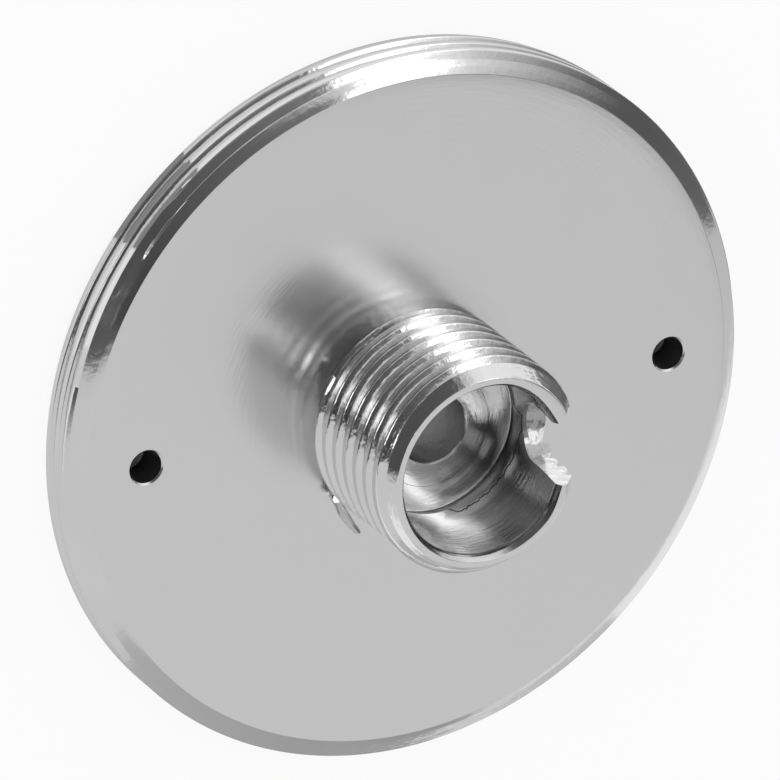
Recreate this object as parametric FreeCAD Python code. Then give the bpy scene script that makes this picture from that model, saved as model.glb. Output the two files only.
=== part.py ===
import FreeCAD, Part
import os

# Fiber optic adapter plate: a round disc with a threaded rim and a short threaded
# barrel standing on its front face. One turned metal piece.
# Millimetres. Origin at the middle of the flat back face, +Z along the fibre axis
# towards the mouth of the barrel, +X through the key slot.

# Disc
RIM_RADIUS = 13.145           # major radius of the 1.035 inch, 40 per inch rim thread
DISC_THICKNESS = 2.5
FRONT_FACE_RADIUS = 12.4
FRONT_CHAMFER_HEIGHT = 0.42
BACK_FACE_RADIUS = 12.6
BACK_CHAMFER_HEIGHT = 0.5

# Barrel
BARREL_RADIUS = 4.0           # major radius of the M8 x 0.75 barrel thread
BARREL_HEIGHT = 5.8           # from the front face of the disc to the mouth
MOUTH_OUTER_RADIUS = 3.5
LEAD_CHAMFER_HEIGHT = 0.7
NECK_RADIUS = 3.5             # thread relief between the disc and the thread
NECK_HEIGHT = 0.35
NECK_TAPER_HEIGHT = 0.2

# Receptacle for the connector nose
RECEPTACLE_RADIUS = 3.12
RECEPTACLE_DEPTH = 4.15
MOUTH_INNER_RADIUS = 3.29
MOUTH_CHAMFER_HEIGHT = 0.31
LAND_RADIUS = 2.15            # low round land in the middle of the floor
LAND_HEIGHT = 0.1

# Ferrule bore, through
FERRULE_RADIUS = 1.25
FERRULE_EDGE_BREAK = 0.06
BACK_EDGE_BREAK = 0.15

# Key slot in the barrel wall
SLOT_WIDTH = 2.2
SLOT_DEPTH = 3.34

# Spanner holes in the front face
SPANNER_CIRCLE_RADIUS = 10.2
SPANNER_HOLE_RADIUS = 0.6
SPANNER_HOLE_DEPTH = 1.4
SPANNER_TIP_HEIGHT = 0.35
SPANNER_EDGE_BREAK = 0.06

# Heights that follow from the sizes above
FRONT_Z = DISC_THICKNESS
MOUTH_Z = FRONT_Z + BARREL_HEIGHT
FLOOR_Z = MOUTH_Z - RECEPTACLE_DEPTH
LAND_Z = FLOOR_Z + LAND_HEIGHT

# A cutter runs this far past the surface it opens
OVERRUN = 1.0


def turned(profile):
    """Solid of revolution about the Z axis from (radius, height) corners."""
    points = [FreeCAD.Vector(radius, 0, height) for radius, height in profile]
    outline = Part.makePolygon(points + points[:1])
    face = Part.Face(outline)
    return face.revolve(FreeCAD.Vector(0, 0, 0), FreeCAD.Vector(0, 0, 1), 360)


def outer_body():
    """Disc and barrel as one turned blank, without any hole."""
    neck_top = FRONT_Z + NECK_HEIGHT
    profile = [
        (0, 0),
        (BACK_FACE_RADIUS, 0),
        (RIM_RADIUS, BACK_CHAMFER_HEIGHT),
        (RIM_RADIUS, FRONT_Z - FRONT_CHAMFER_HEIGHT),
        (FRONT_FACE_RADIUS, FRONT_Z),
        (NECK_RADIUS, FRONT_Z),
        (NECK_RADIUS, neck_top),
        (BARREL_RADIUS, neck_top + NECK_TAPER_HEIGHT),
        (BARREL_RADIUS, MOUTH_Z - LEAD_CHAMFER_HEIGHT),
        (MOUTH_OUTER_RADIUS, MOUTH_Z),
        (0, MOUTH_Z),
    ]
    return turned(profile)


def bore_cutter():
    """Stepped bore: edge break, ferrule bore, receptacle and its mouth chamfer."""
    profile = [
        (0, -OVERRUN),
        (FERRULE_RADIUS + BACK_EDGE_BREAK, -OVERRUN),
        (FERRULE_RADIUS + BACK_EDGE_BREAK, 0),
        (FERRULE_RADIUS, BACK_EDGE_BREAK),
        (FERRULE_RADIUS, LAND_Z - FERRULE_EDGE_BREAK),
        (FERRULE_RADIUS + FERRULE_EDGE_BREAK, LAND_Z),
        (LAND_RADIUS, LAND_Z),
        (LAND_RADIUS, FLOOR_Z),
        (RECEPTACLE_RADIUS, FLOOR_Z),
        (RECEPTACLE_RADIUS, MOUTH_Z - MOUTH_CHAMFER_HEIGHT),
        (MOUTH_INNER_RADIUS, MOUTH_Z),
        (MOUTH_INNER_RADIUS, MOUTH_Z + OVERRUN),
        (0, MOUTH_Z + OVERRUN),
    ]
    return turned(profile)


def slot_cutter():
    """Key slot with a round bottom, open at the mouth, through the +X wall only."""
    round_radius = SLOT_WIDTH / 2
    round_z = MOUTH_Z - SLOT_DEPTH + round_radius
    reach = BARREL_RADIUS + OVERRUN
    straight = Part.makeBox(
        reach, SLOT_WIDTH, MOUTH_Z + OVERRUN - round_z,
        FreeCAD.Vector(0, -round_radius, round_z))
    bottom = Part.makeCylinder(
        round_radius, reach,
        FreeCAD.Vector(0, 0, round_z), FreeCAD.Vector(1, 0, 0))
    return straight.fuse(bottom).removeSplitter()


def spanner_hole_cutter():
    """Blind hole with a drill tip and a broken edge, standing on the Z axis."""
    floor_z = FRONT_Z - SPANNER_HOLE_DEPTH
    profile = [
        (0, floor_z - SPANNER_TIP_HEIGHT),
        (SPANNER_HOLE_RADIUS, floor_z),
        (SPANNER_HOLE_RADIUS, FRONT_Z - SPANNER_EDGE_BREAK),
        (SPANNER_HOLE_RADIUS + SPANNER_EDGE_BREAK, FRONT_Z),
        (SPANNER_HOLE_RADIUS + SPANNER_EDGE_BREAK, FRONT_Z + OVERRUN),
        (0, FRONT_Z + OVERRUN),
    ]
    return turned(profile)


def adapter_body():
    """The finished adapter."""
    body = outer_body().cut(bore_cutter()).cut(slot_cutter())
    for side in (-1, 1):
        hole = spanner_hole_cutter()
        hole.translate(FreeCAD.Vector(side * SPANNER_CIRCLE_RADIUS, 0, 0))
        body = body.cut(hole)
    return body.Solids[0]


os.makedirs("parts", exist_ok=True)
body = adapter_body()
body.exportStep("parts/adapter_body.step")
print("adapter_body", body.isValid(), round(body.Volume, 3), body.BoundBox)
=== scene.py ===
import math

import bmesh
import bpy
from mathutils import Matrix, Vector, noise


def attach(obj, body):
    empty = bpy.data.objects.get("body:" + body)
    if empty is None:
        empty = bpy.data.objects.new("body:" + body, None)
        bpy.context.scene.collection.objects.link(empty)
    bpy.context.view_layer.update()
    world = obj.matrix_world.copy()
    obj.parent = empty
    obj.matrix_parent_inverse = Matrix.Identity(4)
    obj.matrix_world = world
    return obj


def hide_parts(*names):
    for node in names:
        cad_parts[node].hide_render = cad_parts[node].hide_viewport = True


# Fibre adapter plate: a satin steel disc with a threaded rim and a short threaded
# barrel, lying on its back face. The shape is worked out in millimetres, in the
# CAD's frame, and turned into metres when a mesh is made.

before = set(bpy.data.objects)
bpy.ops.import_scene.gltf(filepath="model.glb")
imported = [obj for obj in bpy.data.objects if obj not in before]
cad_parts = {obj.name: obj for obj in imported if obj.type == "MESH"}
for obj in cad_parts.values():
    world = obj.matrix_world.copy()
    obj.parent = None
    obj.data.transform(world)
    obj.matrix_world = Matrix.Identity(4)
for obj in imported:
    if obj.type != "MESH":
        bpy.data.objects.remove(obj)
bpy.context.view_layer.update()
MM = 0.001

# Disc, the same sizes as the CAD
RIM_RADIUS = 13.145
DISC_THICKNESS = 2.5
FRONT_FACE_RADIUS = 12.4
FRONT_CHAMFER_HEIGHT = 0.42
BACK_FACE_RADIUS = 12.6
BACK_CHAMFER_HEIGHT = 0.5
RIM_PITCH = 0.635
RIM_THREAD_DEPTH = 0.36
RIM_CREST_HEIGHT = 1.085     # height of a crest's middle on the +X side
RIM_BLANK_RADIUS = 13.138    # the finished rim, a few micrometres under its nominal size
RIM_END_HEIGHT = 0.13        # the rim's thread band stops this far from each face

# Barrel
BARREL_RADIUS = 4.0
BARREL_HEIGHT = 5.8
MOUTH_OUTER_RADIUS = 3.5
LEAD_CHAMFER_HEIGHT = 0.7
MOUTH_EDGE_BREAK = 0.03
NECK_RADIUS = 3.5
NECK_HEIGHT = 0.35
NECK_TAPER_HEIGHT = 0.2
BARREL_PITCH = 0.75
BARREL_THREAD_DEPTH = 0.36
BARREL_CREST_HEIGHT = 3.365
RUN_OUT_LENGTH = 0.16        # the groove grows to its full depth over this height

# Receptacle and ferrule bore
RECEPTACLE_RADIUS = 3.12
RECEPTACLE_DEPTH = 4.15
MOUTH_INNER_RADIUS = 3.29
MOUTH_CHAMFER_HEIGHT = 0.31
BEND_START = 5.5             # height at which the mouth starts to bend and to lean
BEND_POWER = 2.2
MOUTH_LEAN = 0.045           # away from the key slot
EDGE_WEAR = 0.13             # worn off the barrel on both sides of the key slot
FOIL_THICKNESS = 0.022       # torn film of metal that the last cut left on the wall's foot
FOIL_HEIGHT = 0.70
FOIL_SPAN = (-80.0, 3.0)     # degrees from +X
CRACK_DEPTH = 0.06
LAND_RADIUS = 2.15
LAND_HEIGHT = 0.1
FERRULE_RADIUS = 1.25
FERRULE_EDGE_BREAK = 0.06
BACK_EDGE_BREAK = 0.15

# Key slot and spanner holes
SLOT_WIDTH = 2.2
SLOT_DEPTH = 3.34
SPANNER_CIRCLE_RADIUS = 10.2
SPANNER_HOLE_RADIUS = 0.6
SPANNER_HOLE_DEPTH = 1.4
SPANNER_TIP_HEIGHT = 0.35
SPANNER_EDGE_BREAK = 0.06

FRONT_Z = DISC_THICKNESS
MOUTH_Z = FRONT_Z + BARREL_HEIGHT
FLOOR_Z = MOUTH_Z - RECEPTACLE_DEPTH
LAND_Z = FLOOR_Z + LAND_HEIGHT

# Mesh fineness
RIM_COLUMNS = 640
BARREL_COLUMNS = 320

# 60 degree threads, as (place along one pitch from the crest's middle, share of the depth).
# Their crests are broad, because the blanks were turned under the sharp form. The middle
# of the barrel's crest is a trace hollow.
BARREL_FORM = [
    (-0.50, 1.00), (-0.475, 0.985), (-0.445, 0.90), (-0.34, 0.54), (-0.24, 0.175),
    (-0.205, 0.045), (-0.175, 0.0), (-0.06, 0.012), (0.06, 0.012), (0.175, 0.0),
    (0.205, 0.045), (0.24, 0.175), (0.34, 0.54), (0.445, 0.90), (0.475, 0.985),
]
RIM_FORM = [
    (-0.50, 1.00), (-0.465, 0.96), (-0.42, 0.82), (-0.34, 0.53), (-0.255, 0.22),
    (-0.215, 0.08), (-0.16, 0.0), (0.19, 0.0), (0.215, 0.02), (0.245, 0.12),
    (0.34, 0.47), (0.43, 0.80), (0.475, 0.96),
]


# ---------------------------------------------------------------- turned shape

class TurnedSkin:
    """Points and faces of a turned surface, built ring by ring."""

    def __init__(self):
        self.points = []
        self.faces = []

    def point(self, radius, height, turn):
        self.points.append((radius * math.cos(turn), radius * math.sin(turn), height))
        return len(self.points) - 1

    def ring(self, columns, radius, height):
        step = 2 * math.pi / columns
        return [self.point(radius, height, step * i) for i in range(columns)]

    def shaped_ring(self, columns, place):
        """A ring whose (radius, height) is given by place(turn)."""
        step = 2 * math.pi / columns
        return [self.point(*place(step * i), step * i) for i in range(columns)]

    def face(self, corners):
        kept = []
        for corner in corners:
            if corner not in kept:
                kept.append(corner)
        if len(kept) > 2:
            self.faces.append(kept)

    def join(self, low, high):
        """Faces between two rings. One of them may have twice the other's columns."""
        n_low, n_high = len(low), len(high)
        count = min(n_low, n_high)
        for i in range(count):
            j = (i + 1) % count
            if n_low == n_high:
                self.face([low[i], low[j], high[j], high[i]])
            elif n_low > n_high:
                self.face([low[2 * i], low[2 * i + 1], low[2 * j], high[j], high[i]])
            else:
                self.face([low[i], low[j], high[2 * j], high[2 * i + 1], high[2 * i]])

    def turned_profile(self, corners, columns, first=None, last=None):
        """Rings along (radius, height) corners, joined to the rings given at each end."""
        rings = [self.ring(columns, r, z) for r, z in corners]
        if first is not None:
            rings.insert(0, first)
        if last is not None:
            rings.append(last)
        for low, high in zip(rings, rings[1:]):
            self.join(low, high)
        return rings


def softened(corners, arc_steps=3):
    """Replaces each (radius, height, fillet) corner by a short arc of that fillet radius."""
    out = []
    for i, (r, z, fillet) in enumerate(corners):
        if fillet == 0 or i in (0, len(corners) - 1):
            out.append((r, z))
            continue
        here = Vector((r, z))
        before = (Vector(corners[i - 1][:2]) - here).normalized()
        after = (Vector(corners[i + 1][:2]) - here).normalized()
        half = before.angle(after) / 2
        reach = fillet / math.tan(half)
        centre = here + (before + after).normalized() * (fillet / math.sin(half))
        start = here + before * reach - centre
        end = here + after * reach - centre
        for k in range(arc_steps + 1):
            spoke = start.lerp(end, k / arc_steps).normalized() * fillet
            out.append(tuple(centre + spoke))
    return out


def along(profile, height):
    """Radius of a (radius, height) outline at a height."""
    for (r0, z0), (r1, z1) in zip(profile, profile[1:]):
        if z0 <= height <= z1:
            return r0 + (r1 - r0) * (height - z0) / (z1 - z0)
    return profile[0][0] if height < profile[0][1] else profile[-1][0]


def thread_column(heights, shares, outline, major, depth, run_out):
    """(radius, height) points up one column, with a point on each edge where the
    thread's own form meets the turned outline."""
    form = [major - depth * share * run_out(z) for z, share in zip(heights, shares)]
    blank = [along(outline, z) for z in heights]
    places = [[min(f, b), z] for f, b, z in zip(form, blank, heights)]
    for i in range(len(heights) - 1):
        gap_low = form[i] - blank[i]
        gap_high = form[i + 1] - blank[i + 1]
        if gap_low * gap_high < 0:
            t = gap_low / (gap_low - gap_high)
            z = heights[i] + (heights[i + 1] - heights[i]) * t
            nearer = i if t < 0.5 else i + 1
            places[nearer] = [along(outline, z), z]
    return places


def thread_band(skin, columns, outline, major, depth, pitch, crest_height, form, run_out):
    """A right-handed thread cut into the blank between the outline's two ends. Each row
    of points follows the helix. Returns the plain rings at the bottom and the top."""
    z_low, z_high = outline[0][1], outline[-1][1]
    bottom = skin.ring(columns, outline[0][0], z_low)
    top = skin.ring(columns, outline[-1][0], z_high)
    start = crest_height - pitch * math.ceil((crest_height - z_low + 1.5 * pitch) / pitch)
    turns = math.ceil((z_high - start) / pitch) + 1
    per_turn = len(form)
    grid = []
    for column in range(columns):
        lift = start + pitch * column / columns
        heights, shares, rows = [], [], []
        for k in range(turns):
            for m, (place, share) in enumerate(form):
                z = lift + (k + place) * pitch
                if z_low < z < z_high:
                    heights.append(z)
                    shares.append(share)
                    rows.append(k * per_turn + m)
        line = [bottom[column]] * (turns * per_turn)
        for row in range(rows[-1] + 1, turns * per_turn):
            line[row] = top[column]
        turn = 2 * math.pi * column / columns
        places = thread_column(heights, shares, outline, major, depth, run_out)
        for row, (r, z) in zip(rows, places):
            line[row] = skin.point(r, z, turn)
        grid.append(line)
    last_row = turns * per_turn - 1
    # After one whole turn a row has climbed one pitch, so it meets the row one pitch up.
    grid.append([grid[0][min(row + per_turn, last_row)] for row in range(last_row + 1)])
    for column in range(columns):
        near, far = grid[column], grid[column + 1]
        for row in range(last_row):
            skin.face([near[row], far[row], far[row + 1], near[row + 1]])
    return bottom, top


def rim_outline():
    shoulder = FRONT_Z - FRONT_CHAMFER_HEIGHT
    blank = [
        (BACK_FACE_RADIUS, 0),
        (RIM_BLANK_RADIUS, BACK_CHAMFER_HEIGHT),
        (RIM_BLANK_RADIUS, shoulder),
        (FRONT_FACE_RADIUS, FRONT_Z),
    ]
    low, high = RIM_END_HEIGHT, FRONT_Z - RIM_END_HEIGHT
    middle = [corner for corner in blank if low < corner[1] < high]
    return [(along(blank, low), low)] + middle + [(along(blank, high), high)]


def barrel_outline():
    neck_top = FRONT_Z + NECK_HEIGHT
    return [
        (NECK_RADIUS, neck_top),
        (BARREL_RADIUS, neck_top + NECK_TAPER_HEIGHT),
        (BARREL_RADIUS, MOUTH_Z - LEAD_CHAMFER_HEIGHT),
        (MOUTH_OUTER_RADIUS + MOUTH_EDGE_BREAK, MOUTH_Z - MOUTH_EDGE_BREAK),
    ]


def smooth(share):
    share = max(0.0, min(1.0, share))
    return share * share * (3 - 2 * share)


def full_depth(height):
    return 1.0


def run_out_at_collar(height):
    """The barrel's groove starts above the sharp collar that ends the relief neck."""
    start = FRONT_Z + NECK_HEIGHT + NECK_TAPER_HEIGHT
    return smooth((height - start) / RUN_OUT_LENGTH)


def squeezed_mouth(x, y, z):
    """Moves a point as the barrel's mouth was bent: inward on both sides of the key slot,
    more at its bore than outside, and a trace away from the slot. The outer edge is worn
    beside the slot."""
    radius = math.hypot(x, y)
    if z < BEND_START or radius > BARREL_RADIUS + 1:
        return x, y, z
    turn = math.degrees(math.atan2(y, x))
    if turn > 0:
        inner = 0.25 * smooth((80 - turn) / 50)
        outer = 0.03 * smooth((80 - turn) / 50)
    else:
        inner = 0.17 * smooth((turn + 45) / 25)
        outer = 0.09 * smooth((turn + 35) / 15)
    inside = smooth((MOUTH_OUTER_RADIUS - radius) / 0.22)
    bend = ((z - BEND_START) / (MOUTH_Z - BEND_START)) ** BEND_POWER
    worn = EDGE_WEAR * smooth((34 - abs(turn)) / 16) * smooth((z - BEND_START) / 0.8)
    worn *= 1 - inside
    share = 1 - ((inner * inside + outer * (1 - inside)) * bend + worn) / radius
    return x * share - MOUTH_LEAN * bend, y * share, z


def foil_edge(turn):
    """Radius and height of the torn film's upper edge on the receptacle wall."""
    degrees = math.degrees(turn)
    if degrees > 180:
        degrees -= 360
    if not FOIL_SPAN[0] <= degrees <= FOIL_SPAN[1]:
        return RECEPTACLE_RADIUS - 0.003, FLOOR_Z + 0.25
    ragged = 0.10 * noise.noise(Vector((degrees * 0.21, 0.3, 0))) \
        + 0.13 * noise.noise(Vector((degrees * 0.55, 4.1, 0)))
    torn_end = 0.35 * smooth((FOIL_SPAN[0] + 2.5 - degrees) / 2.5)
    return RECEPTACLE_RADIUS - FOIL_THICKNESS, FLOOR_Z + FOIL_HEIGHT + ragged - torn_end


def crack_beside_foil(turn):
    """Radius and height of the open crack that runs along the torn film's upper edge."""
    radius, height = foil_edge(turn)
    open_by = CRACK_DEPTH if radius < RECEPTACLE_RADIUS - 0.01 else 0.0
    return 2 * RECEPTACLE_RADIUS - radius + open_by, height + 0.002


def adapter_skin():
    """The whole outer and inner surface as one closed skin, without slot or spanner holes."""
    skin = TurnedSkin()
    rim_low, rim_high = thread_band(
        skin, RIM_COLUMNS, rim_outline(), RIM_BLANK_RADIUS, RIM_THREAD_DEPTH,
        RIM_PITCH, RIM_CREST_HEIGHT, RIM_FORM, full_depth)
    barrel_low, barrel_high = thread_band(
        skin, BARREL_COLUMNS, barrel_outline(), BARREL_RADIUS, BARREL_THREAD_DEPTH,
        BARREL_PITCH, BARREL_CREST_HEIGHT, BARREL_FORM, run_out_at_collar)

    face_edge = softened([
        (*rim_outline()[-1], 0),
        (FRONT_FACE_RADIUS + 0.01, FRONT_Z - 0.018, 0.09),
        (FRONT_FACE_RADIUS - 0.3, FRONT_Z - 0.007, 0),
    ], 5)[1:]
    face_edge += [(11.9, FRONT_Z - 0.003), (11.6, FRONT_Z - 0.001), (11.3, FRONT_Z)]
    edge_rings = skin.turned_profile(face_edge, RIM_COLUMNS, first=rim_high)
    face = [(r, FRONT_Z) for r in (10.9, 9.3, 7.0, 5.0)]
    neck = softened([
        (5.0, FRONT_Z, 0),
        (NECK_RADIUS, FRONT_Z, 0.1),
        (NECK_RADIUS, FRONT_Z + NECK_HEIGHT, 0),
    ], 5)[1:-1]
    skin.turned_profile(face + neck, BARREL_COLUMNS, first=edge_rings[-1], last=barrel_low)

    mouth = softened([
        (*barrel_outline()[-1], 0),
        (MOUTH_OUTER_RADIUS, MOUTH_Z, 0.025),
        (MOUTH_INNER_RADIUS, MOUTH_Z, 0.02),
        (RECEPTACLE_RADIUS + 0.055, MOUTH_Z - 0.17, 0.06),
        (RECEPTACLE_RADIUS + 0.012, MOUTH_Z - 0.27, 0.03),
        (RECEPTACLE_RADIUS, MOUTH_Z - MOUTH_CHAMFER_HEIGHT - 0.03, 0.03),
        (RECEPTACLE_RADIUS, FLOOR_Z + 3.2, 0),
    ])[1:]
    mouth += [(RECEPTACLE_RADIUS, FLOOR_Z + z) for z in (2.7, 2.2, 1.7, 1.2)]
    foil = [
        skin.shaped_ring(
            BARREL_COLUMNS, lambda t: (RECEPTACLE_RADIUS, foil_edge(t)[1] + 0.022)),
        skin.shaped_ring(BARREL_COLUMNS, crack_beside_foil),
        skin.shaped_ring(BARREL_COLUMNS, lambda t: (foil_edge(t)[0], foil_edge(t)[1] - 0.016)),
        skin.shaped_ring(BARREL_COLUMNS, lambda t: (foil_edge(t)[0], FLOOR_Z + 0.09)),
        skin.shaped_ring(
            BARREL_COLUMNS, lambda t: (foil_edge(t)[0] - 0.025, FLOOR_Z + 0.025)),
    ]
    upper_rings = skin.turned_profile(mouth, BARREL_COLUMNS, first=barrel_high, last=foil[0])
    for low, high in zip(foil, foil[1:]):
        skin.join(low, high)

    inside = softened([
        (RECEPTACLE_RADIUS - 0.09, FLOOR_Z, 0),
        (LAND_RADIUS, FLOOR_Z, 0.02),
        (LAND_RADIUS, LAND_Z, 0.03),
        (FERRULE_RADIUS + FERRULE_EDGE_BREAK, LAND_Z, 0.015),
        (FERRULE_RADIUS, LAND_Z - FERRULE_EDGE_BREAK, 0.015),
        (FERRULE_RADIUS, BACK_EDGE_BREAK, 0.03),
        (FERRULE_RADIUS + BACK_EDGE_BREAK, 0, 0.03),
        (5.0, 0, 0),
    ])
    bore_rings = skin.turned_profile(inside, BARREL_COLUMNS, first=foil[-1])
    back = softened([
        (11.0, 0, 0),
        (BACK_FACE_RADIUS, 0, 0.05),
        (BACK_FACE_RADIUS + 0.12, 0.11, 0),
    ])[:-1]
    back_rings = skin.turned_profile(back, RIM_COLUMNS, first=bore_rings[-1])
    skin.join(back_rings[-1], rim_low)
    skin.points = [squeezed_mouth(*point) for point in skin.points]
    return skin


# ------------------------------------------------------------------- mesh work

def mesh_object(name, points, faces):
    mesh = bpy.data.meshes.new(name)
    mesh.from_pydata([(x * MM, y * MM, z * MM) for x, y, z in points], [], faces)
    mesh.validate()
    obj = bpy.data.objects.new(name, mesh)
    bpy.context.scene.collection.objects.link(obj)
    work = bmesh.new()
    work.from_mesh(mesh)
    bmesh.ops.recalc_face_normals(work, faces=work.faces)
    work.to_mesh(mesh)
    work.free()
    return obj


def slot_cutter():
    """Key slot with a round bottom. Its walls waver a little, as a milled slot's do, and
    the upper wall flares where the mouth's corner is rounded off."""
    half = SLOT_WIDTH / 2
    round_z = MOUTH_Z - SLOT_DEPTH + half
    outline = [(half, MOUTH_Z + 1.0)]
    outline += [(half, MOUTH_Z - 0.12 * k) for k in range(18)]
    outline += [
        (half * math.cos(a), round_z - half * math.sin(a))
        for a in [math.pi * k / 36 for k in range(37)]
    ]
    outline += [(-half, MOUTH_Z - 0.12 * k) for k in reversed(range(18))]
    outline += [(-half, MOUTH_Z + 1.0)]
    across = [1.6 + 0.15 * k for k in range(22)]
    points, faces = [], []
    for x in across:
        for y, z in outline:
            wave = noise.noise(Vector((x * 1.3, y * 2.2, z * 2.2)))
            wave *= 0.2 if y < -1.0 else 1.0
            flare = 0.0
            if y > 0.9:
                flare = smooth((z - 7.1) / 1.2) * (0.15 + max(0.0, x - 2.78))
            points.append((x, y + flare + 0.02 * wave, z + 0.02 * wave))
    n = len(outline)
    for i in range(len(across) - 1):
        for j in range(n):
            k = (j + 1) % n
            faces.append([i * n + j, i * n + k, (i + 1) * n + k, (i + 1) * n + j])
    faces.append(list(range(n)))
    faces.append([(len(across) - 1) * n + j for j in reversed(range(n))])
    return mesh_object("slot_cutter", points, faces)


def spanner_cutter(side):
    """Drill for one spanner hole, with its tip and the broken edge at the face."""
    floor_z = FRONT_Z - SPANNER_HOLE_DEPTH
    profile = [
        (SPANNER_HOLE_RADIUS, floor_z),
        (SPANNER_HOLE_RADIUS, FRONT_Z - SPANNER_EDGE_BREAK),
        (SPANNER_HOLE_RADIUS + SPANNER_EDGE_BREAK, FRONT_Z),
        (SPANNER_HOLE_RADIUS + SPANNER_EDGE_BREAK, FRONT_Z + 1.0),
    ]
    skin = TurnedSkin()
    rings = skin.turned_profile(profile, 72)
    tip = skin.point(0, floor_z - SPANNER_TIP_HEIGHT, 0)
    skin.faces.append(rings[-1])
    for i in range(72):
        skin.face([rings[0][(i + 1) % 72], rings[0][i], tip])
    points = [(x + side * SPANNER_CIRCLE_RADIUS, y, z) for x, y, z in skin.points]
    return mesh_object("spanner_cutter", points, skin.faces)


def cut(obj, cutter):
    step = obj.modifiers.new("cut", "BOOLEAN")
    step.operation = "DIFFERENCE"
    step.solver = "EXACT"
    step.object = cutter
    bpy.context.view_layer.objects.active = obj
    bpy.ops.object.modifier_apply(modifier=step.name)
    bpy.data.objects.remove(cutter)


def around_axis(radius, degrees, z):
    turn = math.radians(degrees)
    return radius * math.cos(turn), radius * math.sin(turn), z


def make_thread_chip():
    """A curled sliver of metal that still hangs at the collar where the thread starts
    and lies just over the disc's face. Its two edges are (radius, degrees) points."""
    near = [(3.86, -139), (3.91, -134.3), (4.04, -128.9),
            (4.2, -123.8), (4.4, -119.2), (4.57, -115.5)]
    far = [(4.08, -138), (4.21, -133.2), (4.38, -129.1),
           (4.53, -124.0), (4.68, -119.4), (4.74, -116.9)]
    section = [(0, 0.03), (0.22, 0.17), (0.55, 0.2), (1.0, 0.1), (0.96, 0.05)]
    points, faces = [], []
    for k, ((r0, a0), (r1, a1)) in enumerate(zip(near, far)):
        drop = 0.24 * smooth(1 - k / 1.6)
        for share, lift in section:
            radius, degrees = r0 + (r1 - r0) * share, a0 + (a1 - a0) * share
            points.append(around_axis(radius, degrees, FRONT_Z + lift + drop))
    n, rows = len(section), len(near)
    for k in range(rows - 1):
        for m in range(n):
            a, b = n * k + m, n * k + (m + 1) % n
            faces.append([a, b, b + n, a + n])
    faces.append(list(range(n)))
    faces.append([n * rows - 1 - m for m in range(n)])
    chip = mesh_object("thread_chip", points, faces)
    finish_shading(chip, 50)
    return chip


def make_collar_burr():
    """A bead of torn metal at the chip's root, with one side pressed flat."""
    work = bmesh.new()
    bmesh.ops.create_icosphere(work, subdivisions=4, radius=1.0)
    centre = Vector(around_axis(3.98, -141.5, 2.97))
    flat = Vector((-0.512, 0.301, 0.804)).normalized()
    for vert in work.verts:
        rough = 1 + 0.3 * noise.noise(vert.co * 1.7)
        shaped = Vector((vert.co.x * 0.15, vert.co.y * 0.15, vert.co.z * 0.22)) * rough
        over = shaped.dot(flat) - 0.1
        if over > 0:
            shaped -= flat * over
        vert.co = (centre + shaped) * MM
    mesh = bpy.data.meshes.new("collar_burr")
    work.to_mesh(mesh)
    work.free()
    burr = bpy.data.objects.new("collar_burr", mesh)
    bpy.context.scene.collection.objects.link(burr)
    finish_shading(burr, 30)
    return burr


def finish_shading(obj, angle=38):
    mesh = obj.data
    mesh.shade_smooth()
    mesh.set_sharp_from_angle(angle=math.radians(angle))
    weigh = obj.modifiers.new("even normals", "WEIGHTED_NORMAL")
    weigh.mode = "FACE_AREA"
    weigh.keep_sharp = True


def make_adapter():
    skin = adapter_skin()
    body = mesh_object("dressed_adapter", skin.points, skin.faces)
    cut(body, slot_cutter())
    for side in (-1, 1):
        cut(body, spanner_cutter(side))
    finish_shading(body)
    return body


# -------------------------------------------------------------------- finishes

class Nodes:
    """Short calls for building a node tree."""

    def __init__(self, tree):
        self.tree = tree

    def add(self, kind, inputs=None, **settings):
        node = self.tree.nodes.new(kind)
        for key, value in settings.items():
            setattr(node, key, value)
        for key, value in (inputs or {}).items():
            self.feed(node.inputs[key], value)
        return node

    def feed(self, socket, value):
        if isinstance(value, bpy.types.NodeSocket):
            self.tree.links.new(value, socket)
        else:
            socket.default_value = value

    def math(self, operation, *values, clamp=False):
        node = self.add("ShaderNodeMath", dict(enumerate(values)), operation=operation)
        node.use_clamp = clamp
        return node.outputs[0]

    def vector(self, operation, *values):
        node = self.add("ShaderNodeVectorMath", dict(enumerate(values)), operation=operation)
        return node.outputs[0]

    def ramp(self, value, low, high, out_low=0.0, out_high=1.0):
        node = self.add("ShaderNodeMapRange", {
            "Value": value, "From Min": low, "From Max": high,
            "To Min": out_low, "To Max": out_high})
        return node.outputs["Result"]

    def blend(self, share, low, high):
        node = self.add("ShaderNodeMix", data_type="RGBA")
        self.feed(node.inputs[0], share)
        self.feed(node.inputs[6], low)
        self.feed(node.inputs[7], high)
        return node.outputs[2]


def new_group(name, inputs, outputs):
    group = bpy.data.node_groups.new(name, "ShaderNodeTree")
    for label, value in inputs.items():
        socket = group.interface.new_socket(label, in_out="INPUT", socket_type="NodeSocketFloat")
        socket.default_value = value
    for label in outputs:
        group.interface.new_socket(label, in_out="OUTPUT", socket_type="NodeSocketFloat")
    nodes = Nodes(group)
    start = nodes.add("NodeGroupInput")
    end = nodes.add("NodeGroupOutput")
    return group, nodes, start.outputs, end.inputs


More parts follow.
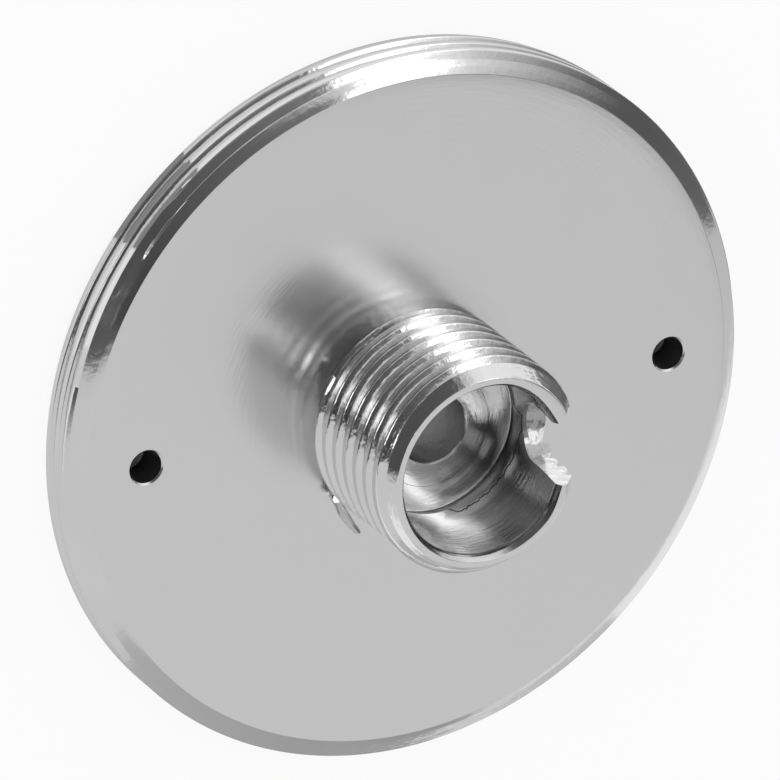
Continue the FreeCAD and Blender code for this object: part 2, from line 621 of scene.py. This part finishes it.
def lathe_place(nodes):
    """Radius, height (mm) and the two parts of the turn angle at the shaded point."""
    place = nodes.add("ShaderNodeTexCoord").outputs["Object"]
    scaled = nodes.add("ShaderNodeVectorMath", {0: place, 3: 1 / MM}, operation="SCALE")
    parts = nodes.add("ShaderNodeSeparateXYZ", {0: scaled.outputs[0]}).outputs
    square = nodes.math("ADD", nodes.math("MULTIPLY", parts[0], parts[0]),
                        nodes.math("MULTIPLY", parts[1], parts[1]))
    radius = nodes.math("MAXIMUM", nodes.math("SQRT", square), 0.01)
    across = nodes.math("DIVIDE", parts[0], radius)
    around = nodes.math("DIVIDE", parts[1], radius)
    return scaled.outputs[0], radius, parts[2], across, around


def tool_marks_group():
    """Fine rings left by the lathe tool: streaks that run round the axis."""
    group, nodes, given, result = new_group(
        "tool_marks", {"Rings per mm": 14.0, "Streaks": 6.0}, ["Height"])
    _, radius, height, across, around = lathe_place(nodes)
    u = nodes.math("MULTIPLY", radius, given["Rings per mm"])
    v = nodes.math("MULTIPLY", height, given["Rings per mm"])
    w = nodes.math("MULTIPLY", across, given["Streaks"])
    t = nodes.math("MULTIPLY", around, given["Streaks"])
    where = nodes.add("ShaderNodeCombineXYZ", {0: u, 1: v, 2: w}).outputs[0]
    grain = nodes.add("ShaderNodeTexNoise", {
        "Vector": where, "W": t, "Scale": 1.0, "Detail": 3.0, "Roughness": 0.6},
        noise_dimensions="4D")
    nodes.feed(result["Height"], grain.outputs["Fac"])
    return group


def blast_grain_group():
    """Tiny dimples of a blasted skin, and slow cloudy variation."""
    group, nodes, given, result = new_group(
        "blast_grain", {"Dimples per mm": 9.0, "Cloud size mm": 3.0}, ["Height", "Cloud"])
    place = lathe_place(nodes)[0]
    fine = nodes.add("ShaderNodeVectorMath", {0: place, 3: given["Dimples per mm"]},
                     operation="SCALE").outputs[0]
    dimples = nodes.add("ShaderNodeTexNoise", {
        "Vector": fine, "Scale": 1.0, "Detail": 2.0, "Roughness": 0.55})
    broad = nodes.math("DIVIDE", 1.0, given["Cloud size mm"])
    slow = nodes.add("ShaderNodeVectorMath", {0: place, 3: broad}, operation="SCALE").outputs[0]
    clouds = nodes.add("ShaderNodeTexNoise", {
        "Vector": slow, "Scale": 1.0, "Detail": 4.0, "Roughness": 0.5})
    nodes.feed(result["Height"], dimples.outputs["Fac"])
    nodes.feed(result["Cloud"], clouds.outputs["Fac"])
    return group


TOOL_MARKS = tool_marks_group()
BLAST_GRAIN = blast_grain_group()


def steel(name, colour, shade, roughness, ring_depth, rings, streaks,
          dimple_depth=0.0, dimples=9.0, painted_dark_reflection=None):
    """Turned steel. Depths are in micrometres; roughness is a (low, high) pair that
    the tool marks and the clouds move between. A painted dark reflection, where there is
    one, is painted shade that darkens the base colour on the side facing one way: (degrees
    from +X that the darkened side faces, share of the colour that is left in its middle)."""
    material = bpy.data.materials.new(name)
    material.use_nodes = True
    nodes = Nodes(material.node_tree)
    shader = material.node_tree.nodes["Principled BSDF"]
    marks = nodes.add("ShaderNodeGroup", node_tree=TOOL_MARKS)
    marks.inputs["Rings per mm"].default_value = rings
    marks.inputs["Streaks"].default_value = streaks
    skin = nodes.add("ShaderNodeGroup", node_tree=BLAST_GRAIN)
    skin.inputs["Dimples per mm"].default_value = dimples
    cloud = nodes.ramp(skin.outputs["Cloud"], 0.35, 0.65)
    tone = nodes.math("ADD", nodes.math("MULTIPLY", cloud, 0.6),
                      nodes.math("MULTIPLY", marks.outputs["Height"], 0.4))
    tint = nodes.blend(tone, shade, colour)
    # Painted shade: the base colour is darkened on one side of the wall, in place of a dark
    # reflection there.
    if painted_dark_reflection:
        _, _, _, across, around = lathe_place(nodes)
        middle = math.radians(painted_dark_reflection[0])
        facing = nodes.math("ADD", nodes.math("MULTIPLY", across, math.cos(middle)),
                            nodes.math("MULTIPLY", around, math.sin(middle)))
        painted_reflection_level = nodes.ramp(facing, 0.86, 0.97, 1.0, painted_dark_reflection[1])
        tint = nodes.blend(painted_reflection_level, grey(0.0), tint)
    nodes.feed(shader.inputs["Base Color"], tint)
    shader.inputs["Metallic"].default_value = 1.0
    nodes.feed(shader.inputs["Roughness"], nodes.ramp(tone, 0.2, 0.8, *roughness))
    bump = nodes.add("ShaderNodeBump", {
        "Height": marks.outputs["Height"], "Strength": 1.0, "Distance": ring_depth * 1e-6})
    normal = bump.outputs[0]
    if dimple_depth:
        fine = nodes.add("ShaderNodeBump", {
            "Height": skin.outputs["Height"], "Strength": 1.0,
            "Distance": dimple_depth * 1e-6, "Normal": normal})
        normal = fine.outputs[0]
    nodes.feed(shader.inputs["Normal"], normal)
    return material


def grey(value, warm=0.0):
    return (value * (1 + warm), value, value * (1 - warm), 1.0)


FACE, RIM, BARREL, BORED, MILLED, TORN, PAINTED_SHADE_RECESS, REAMED = range(8)


def finish_at(centre, normal):
    """Which finish a face gets, by where its centre lies (mm)."""
    radius = math.hypot(centre.x, centre.y)
    from_spanner_hole = math.hypot(abs(centre.x) - SPANNER_CIRCLE_RADIUS, centre.y)
    # Painted shade: the spanner holes' walls get a dark steel colour for the shade inside them.
    if from_spanner_hole < SPANNER_HOLE_RADIUS + 0.02 and 0.3 < centre.z < FRONT_Z - 0.03:
        return PAINTED_SHADE_RECESS
    # Painted shade: the crack along the torn film's edge gets the same dark colour, for the shade
    # inside it.
    in_crack = RECEPTACLE_RADIUS + 0.004 < radius < RECEPTACLE_RADIUS + 0.12
    if in_crack and FLOOR_Z + 0.3 < centre.z < FLOOR_Z + 1.0:
        return PAINTED_SHADE_RECESS
    if radius > FRONT_FACE_RADIUS + 0.03 and centre.z > 0.01:
        return RIM
    in_slot = centre.x > 2.5 and abs(centre.y) < 1.7 and 4.9 < centre.z < MOUTH_Z - 0.01
    if in_slot and abs(normal.x) < 0.3:
        return MILLED if centre.z > 5.95 else TORN
    if radius > RECEPTACLE_RADIUS + 0.2 and centre.z > FRONT_Z + 0.12:
        return BARREL
    if radius < FERRULE_RADIUS + 0.005 and 0.01 < centre.z:
        return REAMED
    if radius < RECEPTACLE_RADIUS + 0.2 and 0.01 < centre.z < MOUTH_Z - 0.005:
        return BORED
    return FACE


def dress_adapter(body):
    """The finishes of the one piece, in the order of their numbers."""
    finishes = [
        steel("satin_face_steel", grey(0.77), grey(0.75), (0.19, 0.24), 3.0, 8.0, 9.0, 0.5),
        steel("rim_thread_steel", grey(0.78), grey(0.74), (0.10, 0.15), 3.0, 8.0, 10.0,
              4.0, 3.0),
        steel("barrel_thread_steel", grey(0.80), grey(0.74), (0.10, 0.16), 5.0, 7.0, 5.0,
              16.0, 2.5),
        # The bored wall has painted shade, a dark reflection painted on the side that faces -20
        # degrees.
        steel("bored_wall_steel", grey(0.80), grey(0.58), (0.15, 0.22), 16.0, 5.5, 2.5,
              8.0, 1.5, painted_dark_reflection=(-20.0, 0.5)),
        steel("milled_slot_steel", grey(0.78), grey(0.64), (0.12, 0.20), 1.0, 6.0, 9.0,
              12.0, 3.0),
        steel("torn_slot_steel", grey(0.74), grey(0.36), (0.22, 0.36), 1.0, 6.0, 9.0,
              60.0, 2.2),
        # Painted shade: dark steel for the shade inside the spanner holes and the crack.
        steel("painted_shade_recess_steel", grey(0.27), grey(0.20), (0.40, 0.50), 3.0, 8.0, 3.0, 0.0),
        steel("reamed_bore_steel", grey(0.74), grey(0.42), (0.24, 0.38), 10.0, 5.0, 2.0,
              20.0, 2.5),
    ]
    for material in finishes:
        body.data.materials.append(material)
    for polygon in body.data.polygons:
        polygon.material_index = finish_at(polygon.center / MM, polygon.normal)


# ---------------------------------------------------------------------- studio

def light_path_mask(nodes):
    """1 for what the camera sees directly, in metal or through glass; 0 for other light."""
    path = nodes.add("ShaderNodeLightPath").outputs
    seen = nodes.math("MAXIMUM", path["Is Camera Ray"], path["Is Glossy Ray"])
    return nodes.math("MAXIMUM", seen, path["Is Transmission Ray"])


def make_world():
    world = bpy.data.worlds.new("studio")
    bpy.context.scene.world = world
    world.use_nodes = True
    nodes = Nodes(world.node_tree)
    background = world.node_tree.nodes["Background"]
    mask = light_path_mask(nodes)
    nodes.feed(background.inputs["Color"], (1.0, 1.0, 1.0, 1.0))
    nodes.feed(background.inputs["Strength"], nodes.ramp(mask, 0.0, 1.0, 0.85, 1.0))


def make_floor():
    size = 1.5
    mesh = bpy.data.meshes.new("pale_floor")
    level = -0.00002
    mesh.from_pydata([(-size, -size, level), (size, -size, level),
                      (size, size, level), (-size, size, level)], [], [[0, 1, 2, 3]])
    floor = bpy.data.objects.new("pale_floor", mesh)
    bpy.context.scene.collection.objects.link(floor)
    material = bpy.data.materials.new("pale_paper")
    material.use_nodes = True
    tree = material.node_tree
    tree.nodes.clear()
    nodes = Nodes(tree)
    paper = nodes.add("ShaderNodeBsdfDiffuse", {"Color": grey(0.86), "Roughness": 1.0})
    glow = nodes.add("ShaderNodeEmission", {"Color": grey(1.0), "Strength": 1.0})
    place = nodes.add("ShaderNodeTexCoord").outputs["Object"]
    away = nodes.add("ShaderNodeVectorMath", {0: place}, operation="LENGTH").outputs["Value"]
    open_floor = nodes.ramp(away, 0.0121, 0.0128)
    under_disc = nodes.math("MULTIPLY", nodes.ramp(away, 0.0125, 0.0123),
                            nodes.ramp(away, 0.0013, 0.0018, 0.45, 1.0))
    seen_floor = nodes.math("MAXIMUM", open_floor, under_disc)
    share = nodes.math("MULTIPLY", light_path_mask(nodes), nodes.math("MULTIPLY", seen_floor, 0.9))
    # Painted shadow: seen in the metal, the floor's glow is lowered next to the rim, standing in
    # for the rim's contact shadow.
    painted_rim_shadow = nodes.ramp(away, 0.0130, 0.0150, 0.5, 0.0)
    in_metal = nodes.add("ShaderNodeLightPath").outputs["Is Glossy Ray"]
    shade = nodes.math("MULTIPLY", painted_rim_shadow, in_metal)
    nodes.feed(glow.inputs["Strength"], nodes.math("SUBTRACT", 1.0, shade))
    front = nodes.add("ShaderNodeMixShader", {0: share, 1: paper.outputs[0], 2: glow.outputs[0]})
    clear = nodes.add("ShaderNodeBsdfTransparent")
    behind = nodes.add("ShaderNodeNewGeometry").outputs["Backfacing"]
    whole = nodes.add("ShaderNodeMixShader", {0: behind, 1: front.outputs[0], 2: clear.outputs[0]})
    out = nodes.add("ShaderNodeOutputMaterial")
    nodes.feed(out.inputs["Surface"], whole.outputs[0])
    mesh.materials.append(material)
    return floor


def toward(azimuth, elevation):
    """Direction from the adapter: azimuth from +X towards +Y, elevation above the floor."""
    a, e = math.radians(azimuth), math.radians(elevation)
    return Vector((math.cos(a) * math.cos(e), math.sin(a) * math.cos(e), math.sin(e)))


def card_material(name, azimuths, shades):
    """Card that glows by its own emission over a black base: a painted reflection, seen
    only in the metal. Its brightness, where white paper is 1, changes steadily from one
    azimuth to the other."""
    material = bpy.data.materials.new(name)
    material.use_nodes = True
    nodes = Nodes(material.node_tree)
    middle = math.radians(sum(azimuths) / 2)
    place = nodes.add("ShaderNodeTexCoord").outputs["Object"]
    ahead = nodes.add("ShaderNodeVectorMath", {
        0: place, 1: (math.cos(middle), math.sin(middle), 0)}, operation="DOT_PRODUCT")
    aside = nodes.add("ShaderNodeVectorMath", {
        0: place, 1: (-math.sin(middle), math.cos(middle), 0)}, operation="DOT_PRODUCT")
    turn = nodes.math("ARCTAN2", aside.outputs["Value"], ahead.outputs["Value"])
    reach = math.radians(azimuths[1] - azimuths[0]) / 2
    share = nodes.ramp(turn, -reach, reach)
    shader = material.node_tree.nodes["Principled BSDF"]
    shader.inputs["Base Color"].default_value = grey(0.0)
    shader.inputs["Specular IOR Level"].default_value = 0.0
    nodes.feed(shader.inputs["Emission Color"],
               nodes.blend(share, grey(shades[0]), grey(shades[1])))
    shader.inputs["Emission Strength"].default_value = 1.0
    return material


def studio_card(name, azimuths, elevations, shades, distance=0.3):
    """A curved glowing card that stands round the adapter, a painted reflection seen only in the
    metal. The camera looks past it.
    """
    points, faces = [], []
    steps = 12
    for i in range(steps + 1):
        for j in range(steps + 1):
            azimuth = azimuths[0] + (azimuths[1] - azimuths[0]) * i / steps
            elevation = elevations[0] + (elevations[1] - elevations[0]) * j / steps
            points.append(tuple(toward(azimuth, elevation) * distance / MM))
    for i in range(steps):
        for j in range(steps):
            k = i * (steps + 1) + j
            faces.append([k, k + 1, k + steps + 2, k + steps + 1])
    return stage_card(name, points, faces, azimuths, shades)


def painted_floor_shade(name, azimuths, radii, shades):
    """Painted floor shade: a flat glowing card that lies on the floor beside the rim, dimmer than
    the floor, seen only in reflections.
    """
    points, faces = [], []
    steps = 12
    for i in range(steps + 1):
        azimuth = azimuths[0] + (azimuths[1] - azimuths[0]) * i / steps
        points += [around_axis(radius, azimuth, -0.01) for radius in radii]
    for i in range(steps):
        faces.append([2 * i, 2 * i + 1, 2 * i + 3, 2 * i + 2])
    return stage_card(name, points, faces, azimuths, shades)


def stage_card(name, points, faces, azimuths, shades):
    card = mesh_object(name, points, faces)
    card.data.materials.append(card_material(name, azimuths, shades))
    # The cards glow, but only reflections see them: they neither light nor shadow anything.
    card.visible_camera = card.visible_diffuse = card.visible_shadow = False
    return card


def softbox(name, azimuth, elevation, width, height, distance, glow):
    """A rectangular lamp; glow is its brightness, where white paper is 1."""
    lamp = bpy.data.lights.new(name, "AREA")
    lamp.shape = "RECTANGLE"
    lamp.size = width
    lamp.size_y = height
    lamp.energy = glow * math.pi * width * height
    obj = bpy.data.objects.new(name, lamp)
    bpy.context.scene.collection.objects.link(obj)
    direction = toward(azimuth, elevation)
    obj.location = direction * distance
    obj.rotation_mode = "QUATERNION"
    obj.rotation_quaternion = direction.to_track_quat("Z", "Y")
    return obj


def make_studio():
    make_world()
    make_floor()
    studio_card("tent_left_and_front", (190, 330), (0, 90), (0.70, 0.70), 0.36)
    studio_card("tent_low_right", (-31, -11), (0, 30), (0.64, 0.62), 0.36)
    studio_card("tent_top", (-30, 64), (62, 90), (0.70, 0.60), 0.36)
    studio_card("card_over_lens", (62, 190), (57, 88), (0.17, 0.03))
    studio_card("card_round_lens", (108, 147), (46, 57), (0.42, 0.22))
    studio_card("card_left_of_lens", (171, 190), (40, 57), (0.12, 0.10), 0.29)
    studio_card("card_below_lens", (92, 186), (2, 46), (0.10, 0.08))
    studio_card("card_below_lens_start", (80, 92), (2, 48), (0.75, 0.12))
    studio_card("card_below_lens_end", (186, 195), (2, 40), (0.10, 0.66))
    studio_card("card_far_right", (-11, 11), (2, 36), (0.14, 0.10))
    studio_card("card_right", (11, 42), (2, 46), (0.10, 0.95))
    studio_card("card_high_front", (-31, -13), (30, 62), (0.46, 0.12))
    studio_card("card_high_far_right", (-13, 11), (36, 62), (0.10, 0.32))
    studio_card("card_high_right", (11, 42), (46, 62), (0.34, 1.05))
    studio_card("card_beside_key", (62, 80), (0, 50), (1.05, 0.85))
    studio_card("card_high_beside_key", (62, 108), (50, 57), (0.70, 0.50))
    studio_card("card_low_front", (250, 300), (0.5, 34), (0.52, 0.36))
    # Painted shade of the floor round the rim, seen only in the metal.
    painted_floor_shade("painted_floor_shade_lens", (126, 143), (12.9, 17), (0.28, 0.28))
    painted_floor_shade("painted_floor_shade_left", (163, 262), (12.9, 30), (0.76, 0.42))
    painted_floor_shade("painted_floor_shade_front", (262, 312), (12.9, 60), (0.54, 0.60))
    painted_floor_shade("painted_floor_shade_right", (-12, 32), (17, 60), (0.12, 0.22))
    softbox("key_softbox", 52, 44, 0.126, 0.287, 0.5, 1.3)
    softbox("strip_softbox", 159, 52, 0.120, 0.100, 0.5, 1.5)


def make_camera():
    """Long lens from the photograph's side. The picture is turned, so that +Y is up."""
    data = bpy.data.cameras.new("camera")
    data.sensor_width = 36.0
    data.lens = 664.6
    data.clip_start, data.clip_end = 0.01, 10.0
    camera = bpy.data.objects.new("camera", data)
    bpy.context.scene.collection.objects.link(camera)
    place = Vector((-211.226, 207.308, 402.798)) * MM
    target = Vector((-0.7773, 0.9399, 2.5)) * MM
    back = (place - target).normalized()
    level = back.to_track_quat("Z", "Y").to_matrix()
    upright = Vector((0.19196, 0.90976, -0.36809))
    side = upright.cross(back).normalized()
    up = back.cross(side)
    turn = Matrix((side, up, back)).transposed()
    camera.matrix_world = Matrix.Translation(place) @ turn.to_4x4()
    bpy.context.scene.camera = camera


adapter = make_adapter()
chip, burr = make_thread_chip(), make_collar_burr()
dress_adapter(adapter)
for scrap in (chip, burr):
    scrap.data.materials.append(bpy.data.materials["barrel_thread_steel"])
for piece in (adapter, chip, burr):
    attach(piece, "root")
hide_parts("adapter_body")

make_studio()
make_camera()
bpy.context.scene.view_settings.view_transform = "Standard"
